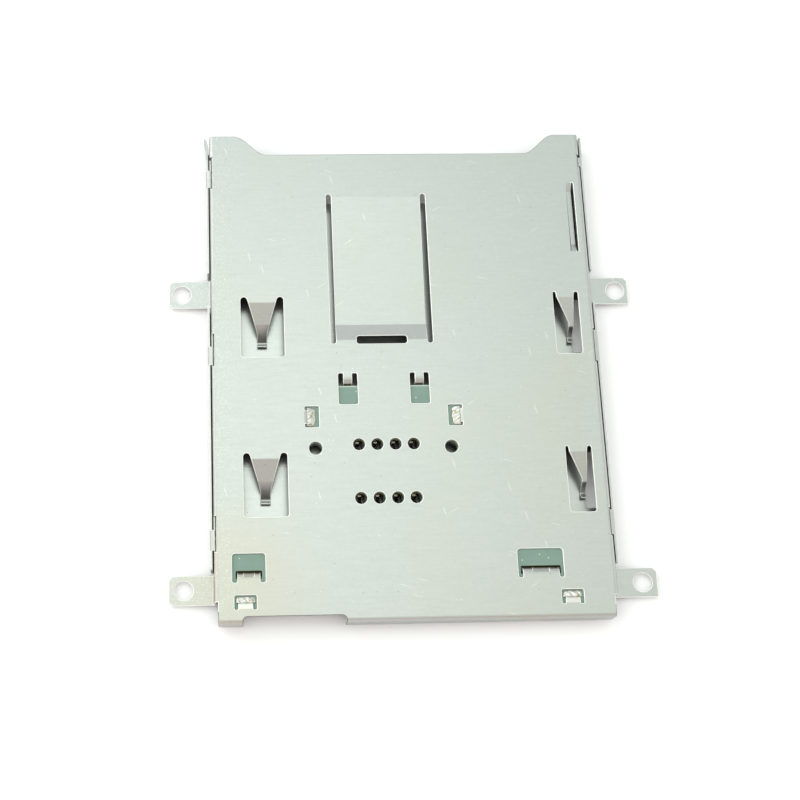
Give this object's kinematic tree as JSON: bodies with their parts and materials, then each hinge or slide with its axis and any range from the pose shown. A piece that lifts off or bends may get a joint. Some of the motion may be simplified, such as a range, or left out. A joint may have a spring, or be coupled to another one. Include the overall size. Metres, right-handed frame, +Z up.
{
  "type": "smart card reader board",
  "caption": "Flat sheet-metal card reader cage with a circuit board, spring contacts and a flat cable connector inside, fixed by ears at its sides.",
  "frame": {"origin": "middle of the footprint, ears included, on the surface that the tray's floor rests on", "axes": "+Y out of the card mouth, +Z up through the cover, +X to the right seen from the rear"},
  "size_m": [0.0672, 0.0716, 0.0037],
  "materials": {
    "cover_steel": "tin-plated cold-rolled steel sheet, satin",
    "tray_steel": "tin-plated cold-rolled steel sheet, satin",
    "board": "glass-fibre laminate with green solder mask",
    "black_plastic": "moulded, fine grain",
    "gold_spring": "gold-plated copper alloy strip",
    "ivory_plastic": "moulded, natural ivory",
    "brown_plastic": "moulded, dark brown",
    "tinned_metal": "tin-plated strip",
    "chip_resin": "moulded resin",
    "crystal_lid": "seam-welded nickel alloy lid",
    "capacitor_ceramic": "fired ceramic with tinned ends",
    "resistor_ceramic": "glazed film on ceramic with tinned ends",
    "solder": "bright reflowed tin solder"
  },
  "bodies": {
    "reader": {"cover": "cover_steel", "base_tray": "tray_steel", "circuit_board": "board", "contact_housing": "black_plastic", "contact_spring_1": "gold_spring", "contact_spring_2": "gold_spring", "contact_spring_3": "gold_spring", "contact_spring_4": "gold_spring", "contact_spring_5": "gold_spring", "contact_spring_6": "gold_spring", "contact_spring_7": "gold_spring", "contact_spring_8": "gold_spring", "switch_housing": "black_plastic", "switch_moving_leaf": "gold_spring", "switch_fixed_leaf": "gold_spring", "cable_connector": "ivory_plastic", "cable_nail_left": "tinned_metal", "cable_nail_right": "tinned_metal", "cable_contact_1": "gold_spring", "cable_contact_2": "gold_spring", "cable_contact_3": "gold_spring", "cable_contact_4": "gold_spring", "cable_contact_5": "gold_spring", "cable_contact_6": "gold_spring", "cable_contact_7": "gold_spring", "cable_contact_8": "gold_spring", "cable_contact_9": "gold_spring", "cable_contact_10": "gold_spring", "controller_chip": "chip_resin", "crystal": "crystal_lid", "capacitor_1": "capacitor_ceramic", "capacitor_2": "capacitor_ceramic", "capacitor_3": "capacitor_ceramic", "capacitor_4": "capacitor_ceramic", "capacitor_5": "capacitor_ceramic", "capacitor_6": "capacitor_ceramic", "resistor_1": "resistor_ceramic", "resistor_2": "resistor_ceramic", "resistor_3": "resistor_ceramic", "resistor_4": "resistor_ceramic", "resistor_5": "resistor_ceramic", "solder_mid_left": "solder", "solder_mid_right": "solder", "solder_rear_left": "solder", "solder_rear_right": "solder"},
    "latch": {"cable_latch": "brown_plastic"}
  },
  "joints": [
    {"name": "latch_flip", "type": "hinge", "parent": "reader", "child": "latch", "pos_m": [-0.01657, -0.03268, 0.00165], "axis": [1, 0, 0], "range_deg": [0, 90]}
  ]
}
